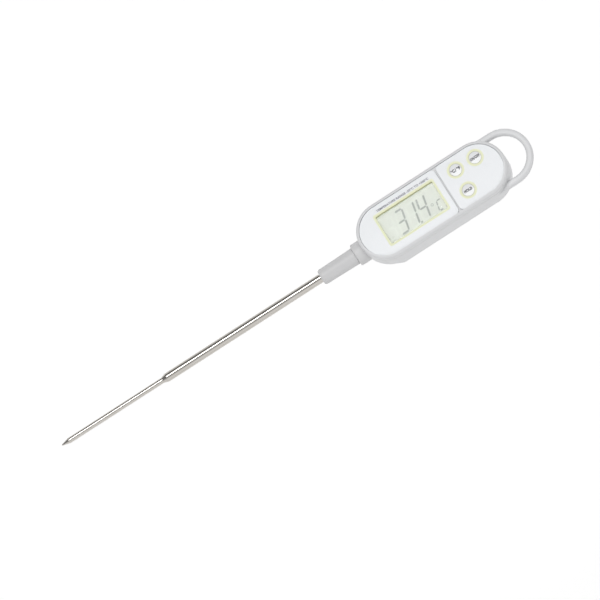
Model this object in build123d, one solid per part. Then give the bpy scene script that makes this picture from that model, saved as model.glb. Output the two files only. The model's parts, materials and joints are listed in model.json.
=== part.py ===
from build123d import *
import math
import os

# Digital soil thermometer: a hand-held display housing with a hanging loop and a reduced-tip probe.
# It lies on its back. X runs along the probe towards the loop, Z points out of the display, and the
# origin is the middle of the housing's flat back. Lengths are in millimetres.

# ---- Housing -------------------------------------------------------------------------------------
HOUSING_LENGTH = 91.5
HOUSING_WIDTH = 32.6
HOUSING_HEIGHT = 19.6
WALL = 1.8
BACK_FILLET = 3.0
RIM_FILLET = 1.5
PARTING_CHAMFER = 0.15
NOSE_ANGLE = 24.0             # the nose's rounded underside widens at this angle, in degrees
FRAME_PROUD = 0.05            # the loop frame stands this far out of the other two shells

PROBE_Z = 8.6                 # height of the probe's axis, and of the back case's parting line
FRONT_SPLIT_Z = 15.6          # the loop frame meets the front case
PLATE_Z = 15.9                # underside of the front case's plate
SEAT_WALL = 2.2               # material round the collar's disc, inside the nose
SEAT_LEAD = 3.0               # the probe's seat starts this far in front of the shoulder
CASE_SEAL_WIDTH = 0.7
CASE_SEAL_HEIGHT = 0.5
PANEL_SEAT_Z = 17.0           # the panels are glued down on the plate here
PANEL_TOP_Z = 19.0            # the rim stands round the panels as a low lip

# ---- Front panels --------------------------------------------------------------------------------
PANEL_INSET = 1.85            # the panels' edge lies this far inside the housing's edge
PANEL_GAP = 0.12
PANEL_EDGE_FILLET = 0.3
DIVIDER_X = 10.0              # middle of the groove between the two panels
DIVIDER_WIDTH = 0.5
DIVIDER_DROP = 0.5            # the divider's top lies this far under the panels
PANEL_CORNER_RADIUS = 2.3

# ---- Display window ------------------------------------------------------------------------------
WINDOW_X = -12.7
GASKET_LENGTH = 38.4
GASKET_WIDTH = 20.2
GASKET_BAND = 1.2
GASKET_TOP_Z = 18.95
GASKET_LIP = 0.5              # the gasket holds the window's edge by this much
GASKET_CORNER_RADIUS = 1.3
SKIRT_GAP = 0.05              # between the gasket's skirt and the display's glass
WINDOW_CORNER_RADIUS = 0.8
WINDOW_THICKNESS = 1.5

# ---- Liquid crystal display ----------------------------------------------------------------------
LCD_LENGTH = 36.6
LCD_WIDTH = 20.8
LCD_TOP_Z = 16.6              # the front glass reaches into the plate's opening
GLASS_THICKNESS = 0.8
LEDGE_WIDTH = 1.3             # strip of the rear glass that the front glass leaves bare
GLASS_CORNER_RADIUS = 0.2
REFLECTOR_THICKNESS = 0.2
REFLECTOR_GAP = 0.6           # between the reflector and each contact strip
HOLDER_WALL = 0.9
ZEBRA_WIDTH = 1.1
ZEBRA_END_GAP = 1.5

# ---- Circuit board -------------------------------------------------------------------------------
BOARD_Z = 10.0
BOARD_THICKNESS = 1.2
BOARD_FRONT_X = -33.3
BOARD_CLEARANCE = 0.4
REST_X = (-22.0, 24.0)        # where the ring's four steps under the board begin
REST_LENGTH = 5.0
REST_DEPTH = 2.2
CHIP_X = -8.0
CHIP_RADIUS = 4.2
CHIP_HEIGHT = 1.1
SMALL_PART = (2.0, 1.25, 0.6)
SMALL_PART_PITCH = 3.2
SMALL_PARTS_X = -22.0
SMALL_PARTS_Y = 7.2           # middle of the two rows of small parts
CRYSTAL_AT = (2.5, 8.2)
CRYSTAL_RADIUS = 1.0
CRYSTAL_LENGTH = 6.0

# ---- Buttons -------------------------------------------------------------------------------------
UNIT_BUTTON_AT = (19.5, 6.7)
POWER_BUTTON_AT = (31.9, 6.7)
HOLD_BUTTON_AT = (19.5, -6.7)
BUTTON_TRAVEL = 0.5
CAP_RADIUS = 3.35
CAP_EDGE_Z = 19.1
CAP_CROWN = 0.2
CAP_FLANGE_SIDE = 8.6
CAP_FLANGE_THICKNESS = 0.8
CAP_STEM_RADIUS = 1.2
CAP_RETAINER_GAP = 0.1        # between the square flange and the plate above it
GUIDE_CLEARANCE = 0.25
GUIDE_WIDTH = 1.0
COLLAR_INNER_RADIUS = 3.5
COLLAR_OUTER_RADIUS = 4.8
MEMBRANE_THICKNESS = 0.5
MEMBRANE_INSET = 3.5
MEMBRANE_FRONT_X = 12.2
SWITCH_SIDE = 6.0
SWITCH_HEIGHT = 2.8
PLUNGER_RADIUS = 0.9
PLUNGER_TOP_Z = 14.7
PLUNGER_LENGTH = 1.9
PLUNGER_CLEARANCE = 0.1

# ---- Battery and its cover -----------------------------------------------------------------------
CELL_X = 20.0
CELL_RADIUS = 5.8
CELL_HEIGHT = 5.4
CELL_POLE_RADIUS = 4.9
CELL_POLE_HEIGHT = 0.4
CONTACT_REACH = 3.5           # half the length of the negative contact's tongue, and its pad's length
CONTACT_HALF_WIDTH = 1.5
NEGATIVE_THICKNESS = 0.2
POSITIVE_THICKNESS = 0.3
POSITIVE_HALF_WIDTH = 2.0
POSITIVE_FOOT = 3.0
COVER_RADIUS = 8.5
COVER_RECESS = 0.3            # the cover lies this far inside the flat back
COVER_THICKNESS = 2.0
COVER_SKIRT_RADIUS = 7.3
COVER_SKIRT_HEIGHT = 1.7
COVER_POCKET_DEPTH = 0.3
COIN_SLOT_LENGTH = 11.5
COIN_SLOT_WIDTH = 1.7
COIN_SLOT_DEPTH = 1.0
COVER_GAP = 0.15
COVER_SEAL_DEPTH = 0.75
SEAL_SECTION_RADIUS = 0.38
SEAL_CLEARANCE = 0.05
WELL_WALL = 1.6
WELL_LEDGE = 1.0              # material over the cover's flange

# ---- Screws --------------------------------------------------------------------------------------
SCREW_PLACES = ((-36.5, 9.4), (-36.5, -9.4), (39.5, 6.2), (39.5, -6.2))
POST_RADIUS = 2.9
FRONT_POST_RADIUS = 2.6
FRONT_POST_Z = 11.6           # the front case's posts reach down to here
SCREW_RADIUS = 0.95
SCREW_HOLE_RADIUS = 1.1
SCREW_HEAD_RADIUS = 1.9
SCREW_HEAD_HEIGHT = 1.4
SCREW_SEAT_Z = 2.7
SCREW_TIP_Z = 16.2
SCREW_RECESS_DEPTH = 0.8
SCREW_RECESS_BAR = (2.2, 0.5)

# ---- Hanging loop --------------------------------------------------------------------------------
LOOP_END_X = 60.9
LOOP_BAND = 3.8
LOOP_LOW_Z = 9.3
LOOP_TOP_Z = 13.7
LOOP_EDGE_RADIUS = 1.4

# ---- Probe ---------------------------------------------------------------------------------------
TIP_X = -239.8
TIP_CONE = 4.6
TIP_ROUND = 0.35
NEEDLE_RADIUS = 1.6
NEEDLE_BORE = 1.2
NEEDLE_LENGTH = 65.0          # from the point to the start of the thick tube
NEEDLE_INSERTION = 9.0        # hidden inside the thick tube
NEEDLE_SEAT_RADIUS = 1.4      # radius of the part hidden inside the thick tube
MOUTH_LIP = 0.12              # the thick tube's mouth stands this far out of the needle
MOUTH_LENGTH = 1.4            # length of the tube's grip on the needle
TUBE_RADIUS = 2.55
TUBE_BORE = 2.15
TUBE_TAPER = 2.6
TUBE_SEAT_RADIUS = 2.35       # radius of the part inside the sleeve and the housing
TUBE_END_X = -36.4
SLEEVE_FRONT_X = -73.1
SLEEVE_FRONT_RADIUS = 4.55
SLEEVE_BACK_RADIUS = 4.9
SLEEVE_GAP = 0.3              # bare seat in front of the sleeve, and its bevel at the collar
COLLAR_FRONT_X = -50.9
COLLAR_RADIUS = 6.45
COLLAR_SHOULDER_X = -42.0
COLLAR_NECK_RADIUS = 4.5
COLLAR_NECK = 1.6
COLLAR_DISC_RADIUS = 5.6
COLLAR_DISC = 1.5
COLLAR_FIT = 0.05
COLLAR_GROOVE_X = -43.6
COLLAR_GROOVE_WIDTH = 0.9
COLLAR_GROOVE_DEPTH = 0.75
LEAD_RADIUS = 0.25
LEAD_SPACING = 0.9
LEAD_BEND_RADIUS = 1.0
LEAD_END_X = -31.5
BEAD_RADIUS = 0.8
POTTING_LENGTH = 6.0          # resin behind the bead's middle

HALF_LENGTH = HOUSING_LENGTH / 2
HALF_WIDTH = HOUSING_WIDTH / 2
BOARD_TOP_Z = BOARD_Z + BOARD_THICKNESS
LCD_BOTTOM_Z = LCD_TOP_Z - 2 * GLASS_THICKNESS
MEMBRANE_Z = PANEL_SEAT_Z - MEMBRANE_THICKNESS
BUTTONS = {"unit": UNIT_BUTTON_AT, "power": POWER_BUTTON_AT, "hold": HOLD_BUTTON_AT}


# ---- Helpers -------------------------------------------------------------------------------------
def stadium(inset=0.0):
    """The housing's outline, drawn in by inset."""
    return SlotOverall(HOUSING_LENGTH - 2 * inset, HOUSING_WIDTH - 2 * inset)


def prism(outline, low_z, high_z):
    """Straight solid over an outline, between two heights."""
    return Pos(0, 0, low_z) * extrude(outline, high_z - low_z)


def block(low, high):
    """Box between two opposite corners."""
    size = [b - a for a, b in zip(low, high)]
    return Pos(*low) * Box(*size, align=(Align.MIN, Align.MIN, Align.MIN))


def post(place, radius, low_z, high_z):
    """Upright cylinder at a place in the plan view."""
    return prism(Pos(*place) * Circle(radius), low_z, high_z)


def posts(places, radius, low_z, high_z):
    """Upright cylinders at several places, as one shape."""
    shapes = [post(place, radius, low_z, high_z) for place in places]
    return shapes[0] + shapes[1:]


def turned(profile):
    """Solid turned about the probe's axis from (x, radius) points; both ends close on the axis."""
    points = [(profile[0][0], 0), *profile, (profile[-1][0], 0)]
    corners = [p for i, p in enumerate(points) if i == 0 or p != points[i - 1]]
    return Pos(0, 0, PROBE_Z) * revolve(make_face(Polyline(*corners, close=True)), Axis.X)


def rod(low_x, high_x, radius):
    """Round rod on the probe's axis."""
    return turned([(low_x, radius), (high_x, radius)])


def rounded_plate(length, width, radius, low_z, high_z):
    """Rectangular plate with rounded corners, centred on the window."""
    return prism(Pos(WINDOW_X, 0) * RectangleRounded(length, width, radius), low_z, high_z)


def top_edges(solid):
    """Edges of the solid's highest face."""
    return solid.faces().sort_by(Axis.Z)[-1].edges()


# ---- Shells --------------------------------------------------------------------------------------
def panel_outline(side, gap=0.0):
    """Outline of one front panel: side -1 is the display panel, +1 the keypad panel."""
    edge = DIVIDER_X + side * (DIVIDER_WIDTH / 2 + PANEL_GAP - gap)
    middle = edge + side * HOUSING_LENGTH / 2
    half = Pos(middle, 0) * Rectangle(HOUSING_LENGTH, HOUSING_WIDTH)
    outline = stadium(PANEL_INSET - gap) & half
    corners = [v for v in outline.vertices() if abs(v.X - edge) < 0.01]
    return fillet(corners, PANEL_CORNER_RADIUS + gap)


def front_case():
    """Upper shell: a rim around two shallow pockets, over a plate with the openings."""
    shell = prism(stadium(), FRONT_SPLIT_Z, HOUSING_HEIGHT)
    shell = fillet(top_edges(shell), RIM_FILLET)
    shell = chamfer(shell.faces().sort_by(Axis.Z)[0].edges(), PARTING_CHAMFER)
    shell -= prism(stadium(WALL), FRONT_SPLIT_Z, PLATE_Z)
    shell += posts(SCREW_PLACES, FRONT_POST_RADIUS, FRONT_POST_Z, PANEL_SEAT_Z)
    for side in (-1, 1):
        shell -= prism(panel_outline(side, PANEL_GAP), PANEL_SEAT_Z, HOUSING_HEIGHT)
    shell -= divider_space()
    shell -= rounded_plate(*gasket_opening(GASKET_LIP), WINDOW_CORNER_RADIUS, PLATE_Z, PANEL_SEAT_Z)
    shell -= prism(membrane_outline(PANEL_GAP), MEMBRANE_Z, PANEL_SEAT_Z)
    for place in BUTTONS.values():
        shell -= post(place, COLLAR_INNER_RADIUS + 0.2, PLATE_Z, MEMBRANE_Z)
    shell += button_guides()
    return shell - posts(SCREW_PLACES, SCREW_RADIUS, FRONT_POST_Z, SCREW_TIP_Z)


def divider_space():
    """Room over the divider, which lies lower than the two panels."""
    strip = Pos(DIVIDER_X, 0) * Rectangle(2 * PANEL_CORNER_RADIUS, HOUSING_WIDTH)
    outline = stadium(PANEL_INSET - PANEL_GAP) & strip
    return prism(outline, PANEL_TOP_Z - DIVIDER_DROP, HOUSING_HEIGHT)


def button_guides():
    """Ribs under the plate that stop the square cap flanges from turning."""
    reach = CAP_FLANGE_SIDE / 2
    inner = UNIT_BUTTON_AT[1] + reach + GUIDE_CLEARANCE
    outer = inner + GUIDE_WIDTH
    low_x = UNIT_BUTTON_AT[0] - reach
    upper = block((low_x, inner, FRONT_SPLIT_Z), (POWER_BUTTON_AT[0] + reach, outer, PLATE_Z))
    lower = block((low_x, -outer, FRONT_SPLIT_Z), (low_x + 2 * reach, -inner, PLATE_Z))
    return upper + lower


def frame_outline(inset=0.0):
    """Outline of the loop frame's ring."""
    return stadium(inset - FRAME_PROUD)


def hanging_loop():
    """Round-edged band that leaves one side of the ring, turns and comes back on the other."""
    middle = HALF_WIDTH + FRAME_PROUD - LOOP_BAND / 2
    turn_x = LOOP_END_X - LOOP_BAND / 2 - middle
    root_x = HALF_LENGTH - HALF_WIDTH - 2
    path = Line((root_x, -middle), (turn_x, -middle))
    path += ThreePointArc((turn_x, -middle), (turn_x + middle, 0), (turn_x, middle))
    path += Line((turn_x, middle), (root_x, middle))
    section = RectangleRounded(LOOP_BAND, LOOP_TOP_Z - LOOP_LOW_Z, LOOP_EDGE_RADIUS)
    band = sweep(Plane((root_x, -middle, 0), x_dir=(0, 1, 0), z_dir=(1, 0, 0)) * section, path=path)
    return Pos(0, 0, (LOOP_TOP_Z + LOOP_LOW_Z) / 2) * band


def probe_seat(low_z, high_z):
    """Block behind the housing's nose that the probe's collar is clamped in."""
    width = COLLAR_DISC_RADIUS + SEAT_WALL
    front = COLLAR_SHOULDER_X - SEAT_LEAD
    back = COLLAR_SHOULDER_X + COLLAR_NECK + COLLAR_DISC
    seat = block((front, -width, low_z), (back, width, high_z))
    return seat & prism(stadium(WALL / 2), low_z, high_z)


def collar_space():
    """Room for the probe's collar in the two shells that clamp it."""
    fit = COLLAR_FIT
    neck_end = COLLAR_SHOULDER_X + COLLAR_NECK
    return turned([
        (COLLAR_FRONT_X, COLLAR_RADIUS + fit),
        (COLLAR_SHOULDER_X, COLLAR_RADIUS + fit),
        (COLLAR_SHOULDER_X, COLLAR_NECK_RADIUS + fit),
        (neck_end, COLLAR_NECK_RADIUS + fit),
        (neck_end, COLLAR_DISC_RADIUS + fit),
        (neck_end + COLLAR_DISC + 1, COLLAR_DISC_RADIUS + fit),
    ])


def board_rests():
    """Four small steps inside the ring that the circuit board stands on."""
    outer = HALF_WIDTH - WALL / 2
    steps = []
    for x in REST_X:
        for side in (-1, 1):
            low_y = min(side * (outer - REST_DEPTH), side * outer)
            high = (x + REST_LENGTH, low_y + REST_DEPTH, BOARD_Z)
            steps.append(block((x, low_y, PROBE_Z), high))
    return steps


def loop_frame():
    """Middle shell: the ring between the two cases, with the hanging loop in one piece."""
    frame = prism(frame_outline(), PROBE_Z, FRONT_SPLIT_Z)
    cavity = prism(stadium(WALL), PROBE_Z, FRONT_SPLIT_Z)
    frame = frame + hanging_loop() - cavity
    frame += probe_seat(PROBE_Z, FRONT_SPLIT_Z)
    frame += posts(SCREW_PLACES, POST_RADIUS, PROBE_Z, FRONT_POST_Z)
    frame += board_rests()
    frame -= collar_space()
    frame -= posts(SCREW_PLACES, SCREW_HOLE_RADIUS, PROBE_Z, FRONT_POST_Z)
    return frame - case_seal()


def cover_port():
    """Stepped round opening for the battery cover, cut from the back."""
    ledge_z = COVER_RECESS + COVER_THICKNESS
    outer = post((CELL_X, 0), COVER_RADIUS + COVER_GAP, 0, ledge_z)
    return outer + post((CELL_X, 0), COVER_SKIRT_RADIUS + COVER_GAP, 0, PROBE_Z)


def nose_form():
    """Room for the back case: a ball under the nose, tangent to a cone that widens to the loop."""
    middle = HALF_WIDTH - HALF_LENGTH
    ball = CenterArc((middle, 0), HALF_WIDTH, 90 + NOSE_ANGLE, 90 - NOSE_ANGLE)
    reach = HALF_LENGTH - (ball @ 0).X
    widest = (ball @ 0).Y + reach * math.tan(math.radians(NOSE_ANGLE))
    rest = Polyline(ball @ 0, (HALF_LENGTH, widest), (HALF_LENGTH, 0), ball @ 1)
    return Pos(0, 0, PROBE_Z) * revolve(make_face(ball + rest), Axis.X)


def back_case():
    """Lower shell: a flat back with rounded edges, a battery well and four screw posts."""
    shell = prism(stadium(), 0, PROBE_Z)
    shell = fillet(shell.faces().sort_by(Axis.Z)[0].edges(), BACK_FILLET)
    shell = chamfer(top_edges(shell), PARTING_CHAMFER)
    cavity = prism(stadium(WALL), WALL, PROBE_Z)
    shell -= fillet(cavity.faces().sort_by(Axis.Z)[0].edges(), BACK_FILLET - WALL)
    well_top = COVER_RECESS + COVER_THICKNESS + WELL_LEDGE
    shell += post((CELL_X, 0), COVER_RADIUS + COVER_GAP + WELL_WALL, WALL / 2, well_top)
    shell += post((CELL_X, 0), COVER_SKIRT_RADIUS + COVER_GAP + WELL_WALL, WALL / 2, PROBE_Z)
    shell += posts(SCREW_PLACES, POST_RADIUS, WALL / 2, PROBE_Z)
    shell += probe_seat(WALL / 2, PROBE_Z)
    shell &= nose_form()
    shell -= cover_port()
    shell -= collar_space()
    shell -= posts(SCREW_PLACES, SCREW_HOLE_RADIUS, 0, PROBE_Z)
    shell -= posts(SCREW_PLACES, SCREW_HEAD_RADIUS + 0.2, 0, SCREW_SEAT_Z)
    return shell


def case_seal():
    """Flat seal in a groove on top of the loop frame's wall."""
    middle = WALL / 2 - FRAME_PROUD
    ring = stadium(middle - CASE_SEAL_WIDTH / 2) - stadium(middle + CASE_SEAL_WIDTH / 2)
    return prism(ring, FRONT_SPLIT_Z - CASE_SEAL_HEIGHT, FRONT_SPLIT_Z)


def case_screws():
    """Four pan-head screws driven in from the back, each with a cross recess."""
    screws = []
    for place in SCREW_PLACES:
        head_z = SCREW_SEAT_Z - SCREW_HEAD_HEIGHT
        head = post(place, SCREW_HEAD_RADIUS, head_z, SCREW_SEAT_Z)
        head = fillet(head.faces().sort_by(Axis.Z)[0].edges(), 0.5)
        screw = head + post(place, SCREW_RADIUS, SCREW_SEAT_Z, SCREW_TIP_Z)
        for size in (SCREW_RECESS_BAR, SCREW_RECESS_BAR[::-1]):
            screw -= prism(Pos(*place) * Rectangle(*size), head_z, head_z + SCREW_RECESS_DEPTH)
        screws.append(screw)
    return Compound(screws)


# ---- Front panels and window ---------------------------------------------------------------------
def display_panel():
    """White panel around the window."""
    panel = prism(panel_outline(-1), PANEL_SEAT_Z, PANEL_TOP_Z)
    panel = fillet(top_edges(panel), PANEL_EDGE_FILLET)
    opening = (GASKET_LENGTH, GASKET_WIDTH, GASKET_CORNER_RADIUS)
    return panel - rounded_plate(*opening, PANEL_SEAT_Z, PANEL_TOP_Z)


def keypad_panel():
    """White panel around the buttons."""
    panel = prism(panel_outline(1), PANEL_SEAT_Z, PANEL_TOP_Z)
    panel = fillet(top_edges(panel), PANEL_EDGE_FILLET)
    return panel - posts(list(BUTTONS.values()), COLLAR_OUTER_RADIUS, PANEL_SEAT_Z, PANEL_TOP_Z)


def gasket_opening(lip=0.0):
    """Length and width inside the gasket's band, or of the window whose edge it holds by lip."""
    return GASKET_LENGTH - 2 * (GASKET_BAND - lip), GASKET_WIDTH - 2 * (GASKET_BAND - lip)


def display_window():
    """Clear window, set below the panel's surface."""
    size = gasket_opening(GASKET_LIP)
    top_z = PANEL_SEAT_Z + WINDOW_THICKNESS
    return rounded_plate(*size, WINDOW_CORNER_RADIUS, PANEL_SEAT_Z, top_z)


def window_gasket():
    """Coloured ring that seals and frames the window, with a skirt down to the display."""
    outer = (GASKET_LENGTH, GASKET_WIDTH, GASKET_CORNER_RADIUS)
    ring = rounded_plate(*outer, PANEL_SEAT_Z, GASKET_TOP_Z)
    skirt = gasket_opening(GASKET_LIP)
    ring += rounded_plate(*skirt, WINDOW_CORNER_RADIUS, LCD_TOP_Z + SKIRT_GAP, PANEL_SEAT_Z)
    ring -= rounded_plate(*gasket_opening(), WINDOW_CORNER_RADIUS, LCD_TOP_Z, GASKET_TOP_Z)
    return ring - display_window()


# ---- Liquid crystal display ----------------------------------------------------------------------
def lcd_plate(length, width, low_z, high_z):
    """Sharp-cornered sheet of the display's stack, centred on the window."""
    return rounded_plate(length, width, GLASS_CORNER_RADIUS, low_z, high_z)


def lcd_front_glass():
    """Front glass, narrower than the rear glass so that the contact ledges stay bare."""
    width = LCD_WIDTH - 2 * LEDGE_WIDTH
    return lcd_plate(LCD_LENGTH, width, LCD_TOP_Z - GLASS_THICKNESS, LCD_TOP_Z)


def lcd_rear_glass():
    """Rear glass with the contact ledges."""
    return lcd_plate(LCD_LENGTH, LCD_WIDTH, LCD_BOTTOM_Z, LCD_TOP_Z - GLASS_THICKNESS)


def lcd_reflector():
    """Reflecting sheet stuck under the rear glass, between the contact strips."""
    width = LCD_WIDTH - 2 * (ZEBRA_WIDTH + REFLECTOR_GAP)
    return lcd_plate(LCD_LENGTH - 1, width, LCD_BOTTOM_Z - REFLECTOR_THICKNESS, LCD_BOTTOM_Z)


def lcd_holder():
    """Frame that stands on the board and holds the glass and the contact strips."""
    length = LCD_LENGTH + 2 * HOLDER_WALL
    width = LCD_WIDTH + 2 * HOLDER_WALL
    top_z = LCD_TOP_Z - GLASS_THICKNESS
    frame = rounded_plate(length, width, HOLDER_WALL, BOARD_TOP_Z, top_z)
    return frame - lcd_plate(LCD_LENGTH, LCD_WIDTH, BOARD_TOP_Z, top_z)


def zebra_connectors():
    """Two rubber contact strips that join the glass's ledges to the board."""
    half = LCD_LENGTH / 2 - ZEBRA_END_GAP
    strips = []
    for side in (-1, 1):
        y = side * (LCD_WIDTH / 2 - 0.1 - ZEBRA_WIDTH / 2)
        low = (WINDOW_X - half, y - ZEBRA_WIDTH / 2, BOARD_TOP_Z)
        strips.append(block(low, (WINDOW_X + half, y + ZEBRA_WIDTH / 2, LCD_BOTTOM_Z)))
    return Compound(strips)


# ---- Circuit board -------------------------------------------------------------------------------
def circuit_board():
    """Board that fills the housing behind the probe's seat, cut away round the screw posts."""
    outline = stadium(WALL + BOARD_CLEARANCE)
    outline &= Pos(BOARD_FRONT_X + HOUSING_LENGTH / 2, 0) * Rectangle(HOUSING_LENGTH, HOUSING_WIDTH)
    board = prism(outline, BOARD_Z, BOARD_TOP_Z)
    return board - posts(SCREW_PLACES, POST_RADIUS + BOARD_CLEARANCE, BOARD_Z, BOARD_TOP_Z)


def controller_chip():
    """Resin drop over the measuring chip, on the board's underside."""
    drop = post((CHIP_X, 0), CHIP_RADIUS, BOARD_Z - CHIP_HEIGHT, BOARD_Z)
    return fillet(drop.faces().sort_by(Axis.Z)[0].edges(), 0.9)


def board_components():
    """Small resistors, capacitors and a clock crystal on the board's underside."""
    length, width, height = SMALL_PART
    chips = []
    for i in range(4):
        x = SMALL_PARTS_X + SMALL_PART_PITCH * i
        for y in (-SMALL_PARTS_Y, SMALL_PARTS_Y):
            low = (x, y - width / 2, BOARD_Z - height)
            chips.append(block(low, (x + length, y + width / 2, BOARD_Z)))
    can = Rot(0, 90, 0) * Cylinder(CRYSTAL_RADIUS, CRYSTAL_LENGTH)
    return Compound([*chips, Pos(*CRYSTAL_AT, BOARD_Z - CRYSTAL_RADIUS) * can])


def tact_switches():
    """Three push switches on top of the board, each with a well for its plunger."""
    switches = []
    well_z = PLUNGER_TOP_Z - PLUNGER_LENGTH - BUTTON_TRAVEL - PLUNGER_CLEARANCE
    for place in BUTTONS.values():
        base = Pos(*place) * Rectangle(SWITCH_SIDE, SWITCH_SIDE)
        body = prism(base, BOARD_TOP_Z, BOARD_TOP_Z + SWITCH_HEIGHT)
        body = chamfer(top_edges(body), 0.3)
        switches.append(body - post(place, PLUNGER_RADIUS + PLUNGER_CLEARANCE, well_z, PLUNGER_TOP_Z))
    return Compound(switches)


# ---- Buttons -------------------------------------------------------------------------------------
def membrane_outline(gap=0.0):
    """Outline of the silicone sheet under the keypad panel."""
    middle = MEMBRANE_FRONT_X - gap + HOUSING_LENGTH / 2
    half = Pos(middle, 0) * Rectangle(HOUSING_LENGTH, HOUSING_WIDTH)
    return stadium(MEMBRANE_INSET - gap) & half


def keypad_membrane():
    """Silicone sheet whose raised collars show as coloured rings round the caps."""
    sheet = prism(membrane_outline(), MEMBRANE_Z, PANEL_SEAT_Z)
    places = list(BUTTONS.values())
    collars = posts(places, COLLAR_OUTER_RADIUS, PANEL_SEAT_Z, CAP_EDGE_Z)
    for collar in collars.solids():
        sheet += fillet(collar.faces().sort_by(Axis.Z)[-1].edges(), 0.25)
    return sheet - posts(places, COLLAR_INNER_RADIUS, MEMBRANE_Z, CAP_EDGE_Z)


def button_cap(place):
    """Crowned round cap on a square flange, with a stem that meets the switch's plunger."""
    flange_top = PLATE_Z - CAP_RETAINER_GAP
    flange_low = flange_top - CAP_FLANGE_THICKNESS
    cap = post(place, CAP_RADIUS, flange_low, CAP_EDGE_Z + CAP_CROWN)
    crown_radius = (CAP_RADIUS ** 2 + CAP_CROWN ** 2) / (2 * CAP_CROWN)
    centre_z = CAP_EDGE_Z + CAP_CROWN - crown_radius
    cap &= Pos(*place, centre_z) * Sphere(crown_radius)
    flange = Pos(*place) * RectangleRounded(CAP_FLANGE_SIDE, CAP_FLANGE_SIDE, 0.6)
    cap += prism(flange, flange_low, flange_top)
    return cap + post(place, CAP_STEM_RADIUS, PLUNGER_TOP_Z, flange_low)


def switch_plunger(place):
    """Round plunger of one push switch."""
    plunger = post(place, PLUNGER_RADIUS, PLUNGER_TOP_Z - PLUNGER_LENGTH, PLUNGER_TOP_Z)
    return chamfer(plunger.faces().sort_by(Axis.Z)[0].edges(), 0.15)


# ---- Battery -------------------------------------------------------------------------------------
def cell_low_z():
    """Height of the button cell's underside, in the cover's pocket."""
    return COVER_RECESS + COVER_THICKNESS - COVER_POCKET_DEPTH + 0.05


def button_cell():
    """Button cell with a smaller raised pole on the board's side."""
    low_z = cell_low_z()
    top_z = low_z + CELL_HEIGHT
    can = post((CELL_X, 0), CELL_RADIUS, low_z, top_z - CELL_POLE_HEIGHT)
    can = fillet(can.edges().filter_by(GeomType.CIRCLE), 0.4)
    return can + post((CELL_X, 0), CELL_POLE_RADIUS, top_z - 2 * CELL_POLE_HEIGHT, top_z)


def battery_contact_negative():
    """Bent spring strip between the cell's raised pole and the board."""
    pole_z = cell_low_z() + CELL_HEIGHT
    side = CONTACT_HALF_WIDTH
    bend_x = CELL_X - CONTACT_REACH
    low = (bend_x, -side, pole_z)
    tongue = block(low, (CELL_X + CONTACT_REACH, side, pole_z + NEGATIVE_THICKNESS))
    riser = block(low, (bend_x + NEGATIVE_THICKNESS, side, BOARD_Z))
    pad_low = (bend_x - CONTACT_REACH, -side, BOARD_Z - NEGATIVE_THICKNESS)
    return tongue + riser + block(pad_low, (bend_x, side, BOARD_Z))


def battery_contact_positive():
    """Upright strip that bears on the cell's side, with a foot on the board."""
    near = CELL_X + CELL_RADIUS + 0.02
    side = POSITIVE_HALF_WIDTH
    low_z = COVER_RECESS + COVER_THICKNESS + COVER_SKIRT_HEIGHT + 0.4
    strip = block((near, -side, low_z), (near + POSITIVE_THICKNESS, side, BOARD_Z))
    foot_low = (near, -side, BOARD_Z - POSITIVE_THICKNESS)
    return strip + block(foot_low, (near + POSITIVE_FOOT, side, BOARD_Z))


def seal_groove_z():
    """Height of the middle of the cover's seal groove."""
    return COVER_RECESS + COVER_THICKNESS + COVER_SKIRT_HEIGHT / 2


def battery_cover():
    """Round cover with a coin slot outside, and a grooved skirt round the cell inside."""
    disc_top = COVER_RECESS + COVER_THICKNESS
    cover = post((CELL_X, 0), COVER_RADIUS, COVER_RECESS, disc_top)
    cover = chamfer(cover.faces().sort_by(Axis.Z)[0].edges(), 0.35)
    cover += post((CELL_X, 0), COVER_SKIRT_RADIUS, disc_top, disc_top + COVER_SKIRT_HEIGHT)
    pocket_low = disc_top - COVER_POCKET_DEPTH
    cover -= post((CELL_X, 0), CELL_RADIUS + 0.2, pocket_low, disc_top + COVER_SKIRT_HEIGHT)
    middle = seal_groove_z()
    reach = SEAL_SECTION_RADIUS + SEAL_CLEARANCE
    groove = post((CELL_X, 0), COVER_SKIRT_RADIUS, middle - reach, middle + reach)
    floor_radius = COVER_SKIRT_RADIUS - COVER_SEAL_DEPTH
    cover -= groove - post((CELL_X, 0), floor_radius, middle - reach, middle + reach)
    slot = Pos(CELL_X, 0) * SlotOverall(COIN_SLOT_LENGTH, COIN_SLOT_WIDTH)
    return cover - prism(slot, COVER_RECESS, COVER_RECESS + COIN_SLOT_DEPTH)


def battery_cover_seal():
    """O-ring in the cover's groove."""
    ring_radius = COVER_SKIRT_RADIUS - COVER_SEAL_DEPTH + SEAL_CLEARANCE + SEAL_SECTION_RADIUS
    return Pos(CELL_X, 0, seal_groove_z()) * Torus(ring_radius, SEAL_SECTION_RADIUS)


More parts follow.
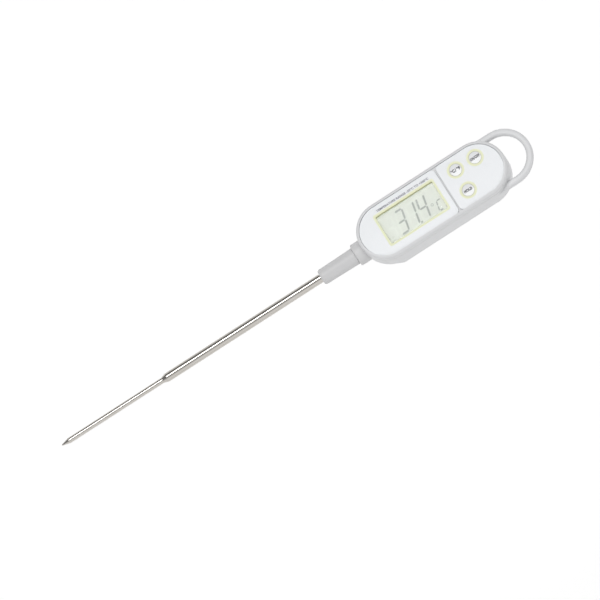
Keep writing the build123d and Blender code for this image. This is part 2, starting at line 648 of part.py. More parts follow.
# ---- Probe ---------------------------------------------------------------------------------------
def probe_collar():
    """Flanged bush in the housing's nose, held by its neck and by a disc behind it."""
    neck_end = COLLAR_SHOULDER_X + COLLAR_NECK
    groove_end = COLLAR_GROOVE_X + COLLAR_GROOVE_WIDTH
    floor = COLLAR_RADIUS - COLLAR_GROOVE_DEPTH
    collar = turned([
        (COLLAR_FRONT_X, COLLAR_RADIUS - 0.5),
        (COLLAR_FRONT_X + 0.5, COLLAR_RADIUS),
        (COLLAR_GROOVE_X, COLLAR_RADIUS),
        (COLLAR_GROOVE_X, floor),
        (groove_end, floor),
        (groove_end, COLLAR_RADIUS),
        (COLLAR_SHOULDER_X, COLLAR_RADIUS),
        (COLLAR_SHOULDER_X, COLLAR_NECK_RADIUS),
        (neck_end, COLLAR_NECK_RADIUS),
        (neck_end, COLLAR_DISC_RADIUS),
        (neck_end + COLLAR_DISC, COLLAR_DISC_RADIUS),
    ])
    return collar - rod(COLLAR_FRONT_X - 1, neck_end + COLLAR_DISC + 1, TUBE_SEAT_RADIUS)


def collar_seal():
    """O-ring in the collar's groove, inside the housing's nose."""
    ring_radius = COLLAR_RADIUS - COLLAR_GROOVE_DEPTH + SEAL_SECTION_RADIUS
    ring = Rot(0, 90, 0) * Torus(ring_radius, SEAL_SECTION_RADIUS)
    return Pos(COLLAR_GROOVE_X + COLLAR_GROOVE_WIDTH / 2, 0, PROBE_Z) * ring


def probe_sleeve():
    """Tapered sleeve moulded on the tube in front of the collar."""
    sleeve = turned([
        (SLEEVE_FRONT_X, SLEEVE_FRONT_RADIUS - 1.1),
        (SLEEVE_FRONT_X + 0.35, SLEEVE_FRONT_RADIUS - 0.45),
        (SLEEVE_FRONT_X + 1.2, SLEEVE_FRONT_RADIUS),
        (COLLAR_FRONT_X - SLEEVE_GAP, SLEEVE_BACK_RADIUS),
        (COLLAR_FRONT_X, SLEEVE_BACK_RADIUS - SLEEVE_GAP),
    ])
    return sleeve - rod(SLEEVE_FRONT_X - 1, COLLAR_FRONT_X + 1, TUBE_SEAT_RADIUS)


def probe_tube():
    """Thick tube from inside the housing to the swaged step where the needle comes out."""
    step_x = TIP_X + NEEDLE_LENGTH
    wall = TUBE_RADIUS - TUBE_BORE
    seat_x = SLEEVE_FRONT_X - SLEEVE_GAP
    outside = turned([
        (step_x, NEEDLE_RADIUS + MOUTH_LIP),
        (step_x + 0.5, NEEDLE_RADIUS + 0.3),
        (step_x + TUBE_TAPER, TUBE_RADIUS),
        (seat_x, TUBE_RADIUS),
        (seat_x, TUBE_SEAT_RADIUS),
        (TUBE_END_X, TUBE_SEAT_RADIUS),
    ])
    inside = turned([
        (step_x - 1, NEEDLE_SEAT_RADIUS),
        (step_x + MOUTH_LENGTH, NEEDLE_SEAT_RADIUS),
        (step_x + TUBE_TAPER + wall, TUBE_BORE),
        (TUBE_END_X + 1, TUBE_BORE),
    ])
    return outside - inside


def probe_needle():
    """Thin tube with a closed conical point."""
    step_x = TIP_X + NEEDLE_LENGTH
    back_x = step_x + NEEDLE_INSERTION
    outside = turned([
        (TIP_X, TIP_ROUND / 2),
        (TIP_X + TIP_ROUND, TIP_ROUND * 1.2),
        (TIP_X + TIP_CONE, NEEDLE_RADIUS),
        (step_x, NEEDLE_RADIUS),
        (step_x, NEEDLE_SEAT_RADIUS),
        (back_x, NEEDLE_SEAT_RADIUS),
    ])
    return outside - rod(TIP_X + TIP_CONE - 0.4, back_x + 1, NEEDLE_BORE)


def bead_x():
    """Middle of the thermistor bead."""
    return TIP_X + TIP_CONE + 2.0


def thermistor_bead():
    """Sensing bead close behind the point."""
    return Pos(bead_x(), 0, PROBE_Z) * Sphere(BEAD_RADIUS)


def thermistor_leads():
    """Two insulated leads from the bead to pads on the board's underside."""
    leads = []
    for side in (-1, 1):
        y = side * LEAD_SPACING / 2
        start = (bead_x() + BEAD_RADIUS, y, PROBE_Z)
        corner = (LEAD_END_X, y, PROBE_Z)
        path = FilletPolyline(start, corner, (LEAD_END_X, y, BOARD_Z), radius=LEAD_BEND_RADIUS)
        leads.append(sweep(Plane(start, z_dir=(1, 0, 0)) * Circle(LEAD_RADIUS), path=path))
    return Compound([lead.solid() for lead in leads])


def tip_potting():
    """Heat-conducting resin that holds the bead in the point."""
    resin = rod(TIP_X + TIP_CONE - 0.4, bead_x() + POTTING_LENGTH, NEEDLE_BORE)
    return resin - thermistor_bead() - thermistor_leads()


# ---- Export --------------------------------------------------------------------------------------
MAKERS = [
    front_case, loop_frame, back_case, case_seal, case_screws,
    display_panel, keypad_panel, display_window, window_gasket,
    lcd_front_glass, lcd_rear_glass, lcd_reflector, lcd_holder, zebra_connectors,
    circuit_board, controller_chip, board_components, tact_switches, keypad_membrane,
    button_cell, battery_contact_negative, battery_contact_positive,
    battery_cover, battery_cover_seal,
    probe_collar, collar_seal, probe_sleeve, probe_tube, probe_needle,
    thermistor_bead, thermistor_leads, tip_potting,
]

nodes = {maker.__name__: maker() for maker in MAKERS}
for button, button_place in BUTTONS.items():
    nodes[button + "_button"] = button_cap(button_place)
    nodes[button + "_plunger"] = switch_plunger(button_place)

os.makedirs("parts", exist_ok=True)
for node, shape in nodes.items():
    export_step(shape, f"parts/{node}.step")
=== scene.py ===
"""Looks of the soil thermometer probe: materials, print, display, light and camera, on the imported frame."""

import json
import math

import bmesh
import bpy
from mathutils import Matrix, Vector


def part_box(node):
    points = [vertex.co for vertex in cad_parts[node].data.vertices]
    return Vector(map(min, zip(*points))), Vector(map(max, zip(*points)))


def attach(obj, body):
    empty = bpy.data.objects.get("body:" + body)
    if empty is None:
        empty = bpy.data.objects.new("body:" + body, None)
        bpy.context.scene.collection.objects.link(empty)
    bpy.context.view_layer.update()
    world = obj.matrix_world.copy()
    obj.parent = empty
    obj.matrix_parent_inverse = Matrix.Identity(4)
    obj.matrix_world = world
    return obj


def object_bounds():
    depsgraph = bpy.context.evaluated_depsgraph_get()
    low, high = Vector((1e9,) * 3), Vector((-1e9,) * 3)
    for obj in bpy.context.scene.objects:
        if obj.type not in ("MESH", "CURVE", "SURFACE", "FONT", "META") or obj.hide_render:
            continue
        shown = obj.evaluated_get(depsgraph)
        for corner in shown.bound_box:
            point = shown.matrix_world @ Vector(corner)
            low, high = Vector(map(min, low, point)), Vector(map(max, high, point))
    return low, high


MM = 0.001

# ---- Print and display, in millimetres -----------------------------------------------------------
INK_THICKNESS = 0.012
RELIEF_HEIGHT = 0.08           # of the raised mark on the battery cover
COVER_ARROW = ((-0.8, 5.9), (0.8, 5.9), (0.0, 7.5))    # from the cover's middle
CROWN_DEPTH = 0.3              # the domed top of a button lies within this of its highest point
DIGIT_HEIGHT = 12.8            # between the middles of the top and bottom segments
DIGIT_WIDTH = 4.4
DIGIT_PITCH = 6.8
DIGIT_SLANT = 0.2              # sideways shift per unit of height
DIGIT_STROKE = 1.15
DIGIT_BASE = (-23.2, -7.1)     # lower left corner of the tens digit
SEGMENT_GAP = 0.14
DOT_SHIFT = 1.35               # decimal point from the digit before it
UNIT_SIGN_HEIGHT = 5.7
UNIT_SIGN_WIDTH = 2.6
UNIT_SIGN_STROKE = 0.8
UNIT_SIGN_BASE = (0.6, -7.2)
DEGREE_OFFSET = (-2.9, -0.6)   # middle of the ring from the sign's top left corner
DEGREE_RADIUS = 0.85
DEGREE_STROKE = 0.35
RANGE_TEXT = "TEMPERATURE RANGE -50°C TO +300°C"
RANGE_CENTRE = (-11.9, 11.3)
RANGE_SIZE = (33.0, 1.35)
RANGE_BOLDNESS = 0.03          # widening of the letters' strokes, as a part of their size
LETTER_BOLDNESS = 0.06
SLASH_BOLDNESS = 0.02
LEGENDS = {                    # text, middle, width and height of each mark
    "unit_button": (("°C", -1.75, 2.4, 2.0), ("/", 0.0, 0.9, 2.1), ("°F", 1.85, 2.1, 2.0)),
    "power_button": (("ON", -1.9, 2.2, 1.8), ("/", -0.4, 0.9, 1.9), ("OFF", 1.45, 2.9, 1.8)),
    "hold_button": (("HOLD", 0.0, 4.9, 1.7),),
}

# ---- Studio --------------------------------------------------------------------------------------
VIEW_ROLL = 32.83              # camera angles about its own axes, in degrees
VIEW_YAW = -2.67
VIEW_TILT = -18.43
VIEW_AIM = Vector((-0.090, 0, 0.010))
VIEW_OFFSET = Vector((3.07, -3.00)) * MM
VIEW_WIDTH = 0.3234            # width of the picture at the object
VIEW_DISTANCE = 4.0
FLOOR_HALF_WIDTH = 12.0
FLOOR_DROP = 0.6               # the object is shown held up over the floor
FLOOR_GLOW = 0.37              # the floor is lit from behind a little, as on a light table
PALE_WALL = 0.95               # brightness of the surroundings in front and near the floor
DARK_WALL = 0.2
BACKDROP = 0.93                # brightness of the surroundings where the camera sees them


# ---- Shader nodes --------------------------------------------------------------------------------
def add(tree, kind, inputs=(), **settings):
    """New shader node; inputs maps each socket to a value or to another node's output."""
    made = tree.nodes.new("ShaderNode" + kind)
    for key, value in settings.items():
        setattr(made, key, value)
    for key, value in dict(inputs).items():
        if isinstance(value, bpy.types.NodeSocket):
            tree.links.new(value, made.inputs[key])
        else:
            made.inputs[key].default_value = value
    return made


def place(tree, stretch=(1, 1, 1)):
    """Position on the object, stretched along its axes."""
    where = add(tree, "TexCoord").outputs["Object"]
    return add(tree, "Mapping", {"Vector": where, "Scale": stretch}).outputs["Vector"]


def noise(tree, size, detail=2.0, stretch=(1, 1, 1)):
    """Noise from 0 to 1 whose patches are about size millimetres across."""
    inputs = {"Vector": place(tree, stretch), "Scale": 1 / (size * MM), "Detail": detail}
    return add(tree, "TexNoise", inputs).outputs["Fac"]


def ranged(tree, factor, low, high, start=0.0, end=1.0):
    """Factor between start and end, mapped to low and high."""
    inputs = {"Value": factor, "From Min": start, "From Max": end, "To Min": low, "To Max": high}
    return add(tree, "MapRange", inputs).outputs["Result"]


def mixed(tree, factor, first, second):
    """Colour between two colours or colour outputs."""
    node = add(tree, "Mix", {"Factor": factor}, data_type="RGBA")
    for socket, colour in ((node.inputs[6], first), (node.inputs[7], second)):
        if isinstance(colour, bpy.types.NodeSocket):
            tree.links.new(colour, socket)
        else:
            socket.default_value = (*colour, 1)
    return node.outputs[2]


def edge_mask(tree, radius):
    """1 on edges sharper than the radius in millimetres, 0 on flat and gently curved faces."""
    rounded = add(tree, "Bevel", {"Radius": radius * MM}, samples=4).outputs["Normal"]
    normal = add(tree, "NewGeometry").outputs["Normal"]
    inputs = {0: rounded, 1: normal}
    agree = add(tree, "VectorMath", inputs, operation="DOT_PRODUCT").outputs["Value"]
    return ranged(tree, agree, 0.0, 1.0, 0.97, 0.75)


def bumps(tree, layers):
    """Normal from layers of (height output, depth in millimetres)."""
    normal = None
    for height, depth in layers:
        inputs = {"Height": height, "Distance": depth * MM, "Strength": 1.0}
        if normal is not None:
            inputs["Normal"] = normal
        normal = add(tree, "Bump", inputs).outputs["Normal"]
    return normal


def groove_line(tree, axis, height, width):
    """0 in a thin line round the part at a height along an axis, in millimetres, and 1 elsewhere."""
    split = add(tree, "SeparateXYZ", {0: place(tree)}).outputs[axis]
    away = add(tree, "Math", {0: split, 1: height * MM}, operation="SUBTRACT").outputs[0]
    away = add(tree, "Math", {0: away}, operation="ABSOLUTE").outputs[0]
    return ranged(tree, away, 0.0, 1.0, 0.0, width * MM)


def shaded(tree, inputs):
    """Principled shader joined to the output."""
    shader = add(tree, "BsdfPrincipled", inputs).outputs["BSDF"]
    add(tree, "OutputMaterial", {"Surface": shader})


def empty_material(name):
    """Material with no nodes yet, and its tree."""
    material = bpy.data.materials.new(name)
    material.use_nodes = True
    material.node_tree.nodes.clear()
    return material, material.node_tree


# ---- Materials -----------------------------------------------------------------------------------
EDGE_RADIUS = 0.35             # edges sharper than this are rubbed, in millimetres
PARTING_WIDTH = 0.07           # of the line that a mould leaves, in millimetres
PARTING_DEPTH = 0.03
HOUSING_PARTING_Z = 11.5
SLEEVE_PARTING_Z = 8.6
GREY = (0.71, 0.715, 0.725)
SLEEVE_GREY = (0.63, 0.63, 0.635)
SILICONE_YELLOW = (0.85, 0.87, 0.61)


def moulded(name, colour, roughness, grain, wear=0.05, patch=9.0, lines=(), **extra):
    """Moulded plastic or rubber: fine grain, slow drifts of tone and gloss, and rubbed edges.

    grain is (size, depth) in millimetres, lines holds (axis, height) of the mould's parting lines,
    and extra goes straight to the shader's own sockets.
    """
    material, tree = empty_material(name)
    drift = noise(tree, patch, 3.0)
    fine = noise(tree, grain[0], 3.0)
    edges = edge_mask(tree, EDGE_RADIUS)
    paler = [min(1.0, c * (1 + wear) + 0.02) for c in colour]
    tone = mixed(tree, drift, [c * 0.975 for c in colour], [min(1.0, c * 1.02) for c in colour])
    tone = mixed(tree, ranged(tree, fine, 0.0, 0.12, 0.35, 0.65), tone, [c * 0.9 for c in colour])
    tone = mixed(tree, ranged(tree, edges, 0.0, 0.5), tone, paler)
    gloss = ranged(tree, noise(tree, 1.6, 4.0), roughness - 0.05, roughness + 0.05, 0.3, 0.7)
    rubbed = add(tree, "Math", {0: edges, 1: -0.08}, operation="MULTIPLY").outputs[0]
    gloss = add(tree, "Math", {0: gloss, 1: rubbed}, operation="ADD", use_clamp=True).outputs[0]
    layers = [(fine, grain[1]), (drift, 0.01)]
    for axis, height in lines:
        layers.append((groove_line(tree, axis, height, PARTING_WIDTH), PARTING_DEPTH))
    inputs = {"Base Color": tone, "Roughness": gloss, "Normal": bumps(tree, layers)}
    for key, value in extra.items():
        inputs[key.replace("_", " ")] = value
    shaded(tree, inputs)
    return material


def steel(name, colour, roughness):
    """Stainless tube polished on a belt: fine rings round the axis, faint stains and small scratches."""
    material, tree = empty_material(name)
    rings = noise(tree, 0.12, 3.0, (1, 0.06, 0.06))
    bands = noise(tree, 2.5, 3.0, (1, 0.15, 0.15))
    stains = noise(tree, 14.0, 4.0)
    scratches = noise(tree, 0.25, 2.0, (0.05, 1, 1))
    stained = [c * s for c, s in zip(colour, (0.93, 0.92, 0.90))]
    tone = mixed(tree, ranged(tree, stains, 0.0, 1.0, 0.3, 0.7), colour, stained)
    tone = mixed(tree, ranged(tree, rings, 0.0, 0.22, 0.35, 0.75), tone, [c * 0.72 for c in colour])
    gloss = ranged(tree, bands, roughness * 0.75, roughness * 1.35, 0.3, 0.7)
    marks = ranged(tree, scratches, 0.0, 0.06, 0.66, 0.8)
    gloss = add(tree, "Math", {0: gloss, 1: marks}, operation="ADD").outputs[0]
    normal = bumps(tree, [(rings, 0.0006), (bands, 0.0006)])
    shaded(tree, {"Base Color": tone, "Metallic": 1.0, "Roughness": gloss, "Normal": normal})
    return material


def plated(name, colour, roughness):
    """Plated sheet metal and screws: brushed tone, finger marks and darker pits."""
    material, tree = empty_material(name)
    brushed = noise(tree, 0.2, 3.0, (0.1, 1, 1))
    marks = noise(tree, 3.0, 4.0)
    tone = mixed(tree, ranged(tree, marks, 0.0, 0.5, 0.3, 0.8), colour, [c * 0.8 for c in colour])
    gloss = ranged(tree, brushed, roughness - 0.08, roughness + 0.1, 0.3, 0.7)
    normal = bumps(tree, [(brushed, 0.002)])
    shaded(tree, {"Base Color": tone, "Metallic": 1.0, "Roughness": gloss, "Normal": normal})
    return material


def lamps_through(material, tint):
    """Lets the lamps shine through a material, and leaves its own look unchanged."""
    tree = material.node_tree
    surface = next(n for n in tree.nodes if n.type == "OUTPUT_MATERIAL").inputs["Surface"]
    shader = surface.links[0].from_socket
    through = add(tree, "BsdfTransparent", {"Color": tint}).outputs["BSDF"]
    shadow = add(tree, "LightPath").outputs["Is Shadow Ray"]
    both = add(tree, "MixShader", {0: shadow, 1: shader, 2: through}).outputs["Shader"]
    tree.links.new(both, surface)
    return material


def pale_silicone(name):
    """Pale yellow silicone, thin enough for light to pass."""
    material = moulded(name, SILICONE_YELLOW, 0.55, (0.25, 0.01), wear=0.08)
    return lamps_through(material, (0.66, 0.65, 0.60, 1))


def clear_window(name):
    """Polished acrylic with hair scratches, which lets the lamps through to the display."""
    material, tree = empty_material(name)
    hairs = noise(tree, 0.3, 2.0, (0.15, 1, 1))
    gloss = ranged(tree, hairs, 0.02, 0.07, 0.55, 0.8)
    normal = bumps(tree, [(hairs, 0.0004)])
    inputs = {"Base Color": (0.985, 0.99, 0.985, 1), "Transmission Weight": 1.0, "IOR": 1.49}
    inputs.update({"Roughness": gloss, "Normal": normal})
    shaded(tree, inputs)
    return lamps_through(material, (0.96, 0.97, 0.96, 1))


def board_laminate(name):
    """Green solder mask over copper tracks, which stand a little proud and look paler."""
    material, tree = empty_material(name)
    inputs = {"Vector": place(tree), "Scale": 1 / (1.6 * MM), "Mortar Size": 0.12}
    brick = add(tree, "TexBrick", inputs, offset=0.37, squash=1.7, squash_frequency=3)
    track = ranged(tree, brick.outputs["Fac"], 1.0, 0.0)
    weave = noise(tree, 0.25, 2.0)
    tone = mixed(tree, track, (0.010, 0.085, 0.030), (0.018, 0.16, 0.055))
    tone = mixed(tree, ranged(tree, weave, 0.0, 0.3), tone, (0.006, 0.06, 0.02))
    gloss = ranged(tree, weave, 0.22, 0.4)
    normal = bumps(tree, [(track, 0.03), (weave, 0.006)])
    shaded(tree, {"Base Color": tone, "Roughness": gloss, "Normal": normal, "Coat Weight": 0.4})
    return material


def striped_rubber(name, light, dark):
    """Contact rubber: thin conductive layers between insulating ones, along the strip."""
    material, tree = empty_material(name)
    split = add(tree, "SeparateXYZ", {0: place(tree)}).outputs["X"]
    turns = add(tree, "Math", {0: split, 1: math.tau / (0.18 * MM)}, operation="MULTIPLY").outputs[0]
    wave = add(tree, "Math", {0: turns}, operation="SINE").outputs[0]
    stripe = ranged(tree, wave, 0.0, 1.0, -0.3, 0.3)
    grain = noise(tree, 0.3, 2.0)
    tone = mixed(tree, stripe, light, dark)
    gloss = ranged(tree, grain, 0.5, 0.7)
    normal = bumps(tree, [(grain, 0.01)])
    shaded(tree, {"Base Color": tone, "Roughness": gloss, "Normal": normal})
    return material


def printed(name, colour, roughness=0.5):
    """Screen-printed ink or a display segment, slightly uneven."""
    material, tree = empty_material(name)
    uneven = noise(tree, 0.35, 3.0)
    tone = mixed(tree, uneven, colour, [min(1.0, c * 1.25 + 0.01) for c in colour])
    gloss = ranged(tree, uneven, roughness - 0.08, roughness + 0.08)
    normal = bumps(tree, [(uneven, 0.003)])
    shaded(tree, {"Base Color": tone, "Roughness": gloss, "Normal": normal})
    return material


MATERIALS = {
    "grey_plastic": lambda n: moulded(
        n, GREY, 0.36, (0.35, 0.012), lines=(("Z", HOUSING_PARTING_Z),)
    ),
    "sleeve_grey": lambda n: moulded(
        n, SLEEVE_GREY, 0.45, (0.3, 0.02), lines=(("Z", SLEEVE_PARTING_Z),)
    ),
    "white_panel": lambda n: moulded(
        n, (0.86, 0.88, 0.90), 0.2, (0.9, 0.003), wear=0.02, Coat_Weight=0.5, Coat_Roughness=0.06
    ),
    "white_button": lambda n: moulded(
        n, (0.82, 0.83, 0.845), 0.3, (0.5, 0.004), wear=0.02, Coat_Weight=0.2, Coat_Roughness=0.15
    ),
    "white_plastic": lambda n: moulded(n, (0.80, 0.80, 0.77), 0.5, (0.3, 0.015)),
    "black_plastic": lambda n: moulded(n, (0.012, 0.012, 0.013), 0.45, (0.25, 0.015), wear=1.0),
    "yellow_silicone": pale_silicone,
    "black_rubber": lambda n: moulded(n, (0.015, 0.015, 0.016), 0.55, (0.2, 0.012), wear=0.8),
    "pink_rubber": lambda n: striped_rubber(n, (0.68, 0.40, 0.40), (0.06, 0.05, 0.05)),
    "clear_window": clear_window,
    "lcd_green": lambda n: moulded(
        n, (0.485, 0.503, 0.463), 0.42, (0.25, 0.002), wear=0.0, patch=22.0
    ),
    "silver_film": lambda n: plated(n, (0.78, 0.80, 0.78), 0.3),
    "board_green": board_laminate,
    "black_resin": lambda n: moulded(n, (0.008, 0.008, 0.009), 0.16, (1.5, 0.02), wear=0.5),
    "white_resin": lambda n: moulded(n, (0.70, 0.70, 0.66), 0.6, (0.2, 0.03)),
    "component_ceramic": lambda n: moulded(n, (0.27, 0.17, 0.10), 0.5, (0.15, 0.01), wear=0.3),
    "sensor_glass": lambda n: moulded(n, (0.05, 0.04, 0.03), 0.12, (0.8, 0.01), wear=0.2),
    "lead_insulation": lambda n: moulded(n, (0.52, 0.02, 0.01), 0.35, (0.3, 0.006), wear=0.1),
    "cell_steel": lambda n: plated(n, (0.66, 0.65, 0.63), 0.28),
    "zinc_steel": lambda n: plated(n, (0.58, 0.58, 0.60), 0.34),
    "polished_steel": lambda n: steel(n, (0.66, 0.635, 0.60), 0.13),
}


def dress_nodes(frame):
    """Every CAD node gets the material of its slot."""
    made = {slot: maker(slot) for slot, maker in MATERIALS.items()}
    for part in frame["record"]["subparts"]:
        mesh = frame["nodes"][part["node"]].data
        mesh.materials.clear()
        mesh.materials.append(made[part["material_slot"]])
    return made


# ---- Printed pieces ------------------------------------------------------------------------------
def piece(name, mesh, material, body):
    """New visible piece that rides on a CAD body."""
    made = bpy.data.objects.new(name, mesh)
    mesh.materials.clear()
    mesh.materials.append(material)
    bpy.context.scene.collection.objects.link(made)
    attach(made, body)
    return made


def plates(name, outlines, low_z, thickness):
    """Mesh of thin flat-sided plates over outlines given in millimetres."""
    build = bmesh.new()
    for outline in outlines:
        foot = [build.verts.new((x * MM, y * MM, low_z)) for x, y in outline]
        face = build.faces.new(foot)
        top = bmesh.ops.extrude_face_region(build, geom=[face])["geom"]
        lifted = [v for v in top if isinstance(v, bmesh.types.BMVert)]
        bmesh.ops.translate(build, verts=lifted, vec=(0, 0, thickness * MM))
    bmesh.ops.recalc_face_normals(build, faces=build.faces)
    mesh = bpy.data.meshes.new(name)
    build.to_mesh(mesh)
    build.free()
    return mesh


def bar(start, end, width):
    """Outline of a display segment: a bar with pointed ends, a little short of both points."""
    start, end = Vector(start), Vector(end)
    along = (end - start).normalized()
    across = Vector((-along.y, along.x)) * width / 2
    start += along * SEGMENT_GAP
    end -= along * SEGMENT_GAP
    point = along * width / 2
    return [
        start,
        start + point - across,
        end - point - across,
        end,
        end - point + across,
        start + point + across,
    ]


def digit_segments(base, width, height, stroke):
    """The seven bars of an upright digit, by their usual letters."""
    x, y = base
    left, right, low, middle, high = x, x + width, y, y + height / 2, y + height
    ends = {
        "a": ((left, high), (right, high)),
        "b": ((right, middle), (right, high)),
        "c": ((right, low), (right, middle)),
        "d": ((left, low), (right, low)),
        "e": ((left, low), (left, middle)),
        "f": ((left, middle), (left, high)),
        "g": ((left, middle), (right, middle)),
    }
    return {letter: bar(*pair, stroke) for letter, pair in ends.items()}


def slanted(outlines, base_y):
    """Outlines leant to the right about the digits' foot."""
    return [[(x + (y - base_y) * DIGIT_SLANT, y) for x, y in outline] for outline in outlines]


def ring_outline(centre, radius, steps=20):
    """Points of a circle."""
    turns = [math.tau * i / steps for i in range(steps)]
    return [(centre[0] + radius * math.cos(t), centre[1] + radius * math.sin(t)) for t in turns]


def display_segments():
    """Outlines of the lit bars (31.4 and the Celsius sign) and of the faint unlit ones."""
    lit, unlit = [], []
    base_x, base_y = DIGIT_BASE
    for place_number, letters in enumerate(("abgcd", "bc", "fgbc")):
        base = (base_x + place_number * DIGIT_PITCH, base_y)
        for letter, outline in digit_segments(base, DIGIT_WIDTH, DIGIT_HEIGHT, DIGIT_STROKE).items():
            (lit if letter in letters else unlit).append(outline)
    hundreds = digit_segments((base_x - DIGIT_PITCH, base_y), DIGIT_WIDTH, DIGIT_HEIGHT, DIGIT_STROKE)
    unlit += [hundreds["b"], hundreds["c"], hundreds["g"]]
    dot_x = base_x + DIGIT_PITCH + DIGIT_WIDTH + DOT_SHIFT
    half = DIGIT_STROKE / 2
    dot = [(-half, -half), (half, -half), (half, half), (-half, half)]
    lit.append([(dot_x + x, base_y + y) for x, y in dot])
    sign = digit_segments(UNIT_SIGN_BASE, UNIT_SIGN_WIDTH, UNIT_SIGN_HEIGHT, UNIT_SIGN_STROKE)
    lit += [sign[letter] for letter in "adef"]
    unlit.append(sign["g"])
    return slanted(lit, base_y), slanted(unlit, base_y)


def degree_ring(centre, radius, stroke):
    """Small ring of short bars, for the degree sign on the display."""
    outer, inner = ring_outline(centre, radius), ring_outline(centre, radius - stroke)
    steps = len(outer)
    return [
        [outer[i], outer[(i + 1) % steps], inner[(i + 1) % steps], inner[i]] for i in range(steps)
    ]


def add_display():
    """Segments on the front glass, just under the window."""
    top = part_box("lcd_front_glass")[1].z
    lit, unlit = display_segments()
    sign_top = UNIT_SIGN_BASE[1] + UNIT_SIGN_HEIGHT
    lean = (sign_top - DIGIT_BASE[1]) * DIGIT_SLANT
    corner = Vector((UNIT_SIGN_BASE[0] + lean, sign_top))
    lit += degree_ring(corner + Vector(DEGREE_OFFSET), DEGREE_RADIUS, DEGREE_STROKE)
    dark = printed("segment_dark", (0.20, 0.215, 0.20), 0.35)
    faint = printed("segment_faint", (0.44, 0.46, 0.42), 0.38)
    lit_mesh = plates("display_digits", lit, top, INK_THICKNESS)
    unlit_mesh = plates("display_unlit_segments", unlit, top, INK_THICKNESS / 2)
    piece("display_digits", lit_mesh, dark, "housing")
    piece("display_unlit_segments", unlit_mesh, faint, "housing")


def words(text, width, height, boldness):
    """Mesh of printed words centred on the origin, scaled to a width and height in millimetres."""
    curve = bpy.data.curves.new("words", "FONT")
    curve.body = text
    curve.size = 1.0
    curve.offset = boldness
    curve.space_character = 1 + 2 * boldness
    curve.extrude = 0.01
    curve.resolution_u = 3
    holder = bpy.data.objects.new("words", curve)
    bpy.context.scene.collection.objects.link(holder)
    depsgraph = bpy.context.evaluated_depsgraph_get()
    mesh = bpy.data.meshes.new_from_object(holder.evaluated_get(depsgraph))
    bpy.data.objects.remove(holder)
    bpy.data.curves.remove(curve)
    points = [v.co for v in mesh.vertices]
    low = Vector([min(p[i] for p in points) for i in range(3)])
    high = Vector([max(p[i] for p in points) for i in range(3)])
    sizes = (width, height, INK_THICKNESS)
    scales = [size * MM / (b - a) for size, a, b in zip(sizes, low, high)]
    flat = Matrix.Diagonal((*scales, 1))
    mesh.transform(flat @ Matrix.Translation(-(low + high) / 2))
    return mesh


def add_range_text():
    """Generic temperature range printed over the window."""
    mesh = words(RANGE_TEXT, *RANGE_SIZE, RANGE_BOLDNESS)
    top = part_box("display_panel")[1].z
    x, y = RANGE_CENTRE
    mesh.transform(Matrix.Translation((x * MM, y * MM, top + INK_THICKNESS / 2 * MM)))
    piece("range_print", mesh, printed("print_grey", (0.10, 0.10, 0.13)), "housing")


def legend_mesh(marks):
    """Mesh of one button's marks in a row, cut up finely enough to bend over the button."""
    gathered = bmesh.new()
    for text, middle, width, height in marks:
        mesh = words(text, width, height, SLASH_BOLDNESS if text == "/" else LETTER_BOLDNESS)
        mesh.transform(Matrix.Translation((middle * MM, 0, 0)))
        gathered.from_mesh(mesh)
        bpy.data.meshes.remove(mesh)
    bmesh.ops.subdivide_edges(gathered, edges=gathered.edges, cuts=3, use_grid_fill=True)
    result = bpy.data.meshes.new("legend")
    gathered.to_mesh(result)
    gathered.free()
    return result


def add_legends(frame):
    """Legends on the buttons, laid on their crowned tops."""
    ink = printed("print_dark", (0.035, 0.035, 0.045))
    body_of = {n: body for body, names in frame["record"]["behaviour"]["bodies"].items() for n in names}
    for button, marks in LEGENDS.items():
        low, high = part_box(button)
        centre = (low + high) / 2
        crown_z = high.z - CROWN_DEPTH * MM
        cap = [v.co for v in frame["nodes"][button].data.vertices if v.co.z > crown_z]
        rim = max(math.hypot(p.x - centre.x, p.y - centre.y) for p in cap)
        rise = high.z - min(p.z for p in cap)
        curve_radius = (rim ** 2 + rise ** 2) / (2 * rise)
        mesh = legend_mesh(marks)
        for v in mesh.vertices:
            crown = math.sqrt(curve_radius ** 2 - v.co.x ** 2 - v.co.y ** 2) - curve_radius
            v.co = Vector((centre.x + v.co.x, centre.y + v.co.y, high.z + crown + v.co.z))
        piece(button.replace("button", "legend"), mesh, ink, body_of[button])


def add_cover_mark(material):
    """Raised arrow head on the battery cover, which shows how far it has turned."""
    low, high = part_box("battery_cover")
    x, y = (low.x + high.x) / 2 / MM, (low.y + high.y) / 2 / MM
    arrow = [(x + dx, y + dy) for dx, dy in COVER_ARROW]
    mesh = plates("cover_mark", [arrow], low.z - RELIEF_HEIGHT * MM, RELIEF_HEIGHT)
    piece("cover_mark", mesh, material, "cover")


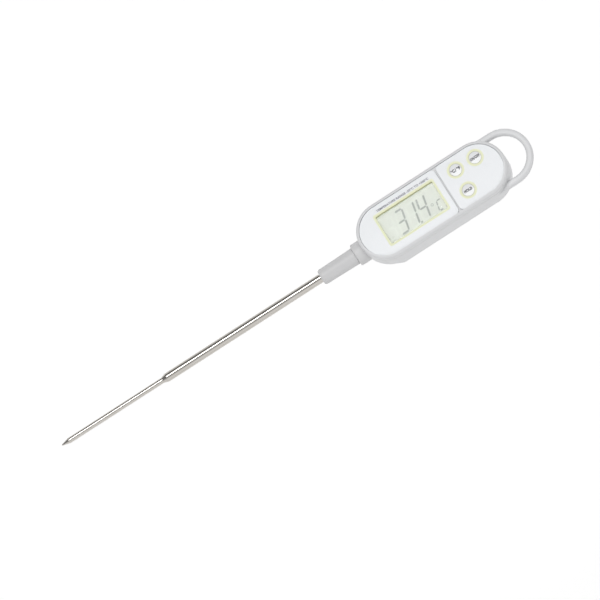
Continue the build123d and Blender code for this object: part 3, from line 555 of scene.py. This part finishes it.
# ---- Studio --------------------------------------------------------------------------------------
def add_floor():
    """Plain pale floor, clear from below so that the back can be looked at."""
    material, tree = empty_material("floor_paper")
    tooth = noise(tree, 2.0, 3.0)
    tone = mixed(tree, tooth, (0.93, 0.93, 0.93), (0.95, 0.95, 0.95))
    inputs = {"Base Color": tone, "Roughness": 0.9, "Emission Color": (1, 1, 1, 1)}
    inputs["Emission Strength"] = FLOOR_GLOW
    paper = add(tree, "BsdfPrincipled", inputs).outputs["BSDF"]
    clear = add(tree, "BsdfTransparent").outputs["BSDF"]
    below = add(tree, "NewGeometry").outputs["Backfacing"]
    both = add(tree, "MixShader", {0: below, 1: paper, 2: clear}).outputs["Shader"]
    add(tree, "OutputMaterial", {"Surface": both})
    half = FLOOR_HALF_WIDTH
    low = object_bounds()[0].z - FLOOR_DROP
    mesh = bpy.data.meshes.new("floor")
    corners = [(-half, -half, low), (half, -half, low), (half, half, low), (-half, half, low)]
    mesh.from_pydata(corners, [], [(0, 1, 2, 3)])
    mesh.materials.append(material)
    floor = bpy.data.objects.new("floor", mesh)
    bpy.context.scene.collection.objects.link(floor)


def add_softbox(name, azimuth, elevation, distance, size, radiance):
    """Rectangular soft light that faces the object from a direction; size is (along, across)."""
    light = bpy.data.lights.new(name, "AREA")
    light.shape = "RECTANGLE"
    light.size, light.size_y = size
    light.energy = radiance * math.pi * size[0] * size[1]
    holder = bpy.data.objects.new(name, light)
    turn, lift = math.radians(azimuth), math.radians(elevation)
    away = Vector((math.cos(turn) * math.cos(lift), math.sin(turn) * math.cos(lift), math.sin(lift)))
    holder.location = VIEW_AIM + away * distance
    holder.rotation_euler = away.to_track_quat("Z", "Y").to_euler()
    holder.visible_camera = False
    bpy.context.scene.collection.objects.link(holder)


def add_world():
    """Surroundings: dark overhead and behind, pale in front and all round near the floor."""
    world = bpy.data.worlds.new("studio")
    world.use_nodes = True
    tree = world.node_tree
    tree.nodes.clear()
    way = add(tree, "TexCoord").outputs["Generated"]
    split = add(tree, "SeparateXYZ", {0: way}).outputs
    front = ranged(tree, split["Y"], PALE_WALL, DARK_WALL, -0.85, -0.15)
    horizon = ranged(tree, split["Z"], PALE_WALL, 0.0, 0.12, 0.42)
    level = add(tree, "Math", {0: front, 1: horizon}, operation="MAXIMUM").outputs[0]
    seen = add(tree, "LightPath").outputs["Is Camera Ray"]
    level = add(tree, "Mix", {0: seen, 2: level, 3: BACKDROP}, data_type="FLOAT").outputs[0]
    surround = add(tree, "Background", {"Color": (1, 1, 1, 1), "Strength": level})
    add(tree, "OutputWorld", {"Surface": surround.outputs["Background"]})
    bpy.context.scene.world = world


def add_camera():
    """Camera looking down on the display from its lower side, with a very long lens."""
    data = bpy.data.cameras.new("camera")
    data.sensor_width = 36.0
    data.lens = data.sensor_width * VIEW_DISTANCE / VIEW_WIDTH
    data.clip_end = 100.0
    camera = bpy.data.objects.new("camera", data)
    turns = ((VIEW_ROLL, "Z"), (VIEW_YAW, "Y"), (VIEW_TILT, "X"))
    spin = Matrix.Identity(3)
    for angle, axis in turns:
        spin = spin @ Matrix.Rotation(math.radians(angle), 3, axis)
    spin = spin.transposed()
    offset = Vector((VIEW_OFFSET.x, VIEW_OFFSET.y, VIEW_DISTANCE))
    camera.matrix_world = Matrix.Translation(VIEW_AIM + spin @ offset) @ spin.to_4x4()
    bpy.context.scene.collection.objects.link(camera)
    bpy.context.scene.camera = camera


def add_studio():
    """Floor, soft light, surroundings, camera and plain colour handling."""
    add_floor()
    add_softbox("key_light", azimuth=90, elevation=80, distance=1.6, size=(1.9, 0.4), radiance=7.1)
    add_world()
    add_camera()
    bpy.context.scene.view_settings.view_transform = "Standard"


# ---- Build ---------------------------------------------------------------------------------------
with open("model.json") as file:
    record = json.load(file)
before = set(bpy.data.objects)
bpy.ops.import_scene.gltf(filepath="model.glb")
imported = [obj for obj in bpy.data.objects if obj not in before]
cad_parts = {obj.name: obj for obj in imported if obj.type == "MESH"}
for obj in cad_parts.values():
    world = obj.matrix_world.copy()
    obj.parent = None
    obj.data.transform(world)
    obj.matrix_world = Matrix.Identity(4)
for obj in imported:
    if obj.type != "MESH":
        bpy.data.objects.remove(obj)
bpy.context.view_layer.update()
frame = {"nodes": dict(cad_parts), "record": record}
made = dress_nodes(frame)
add_display()
add_range_text()
add_legends(frame)
add_cover_mark(made["grey_plastic"])
add_studio()
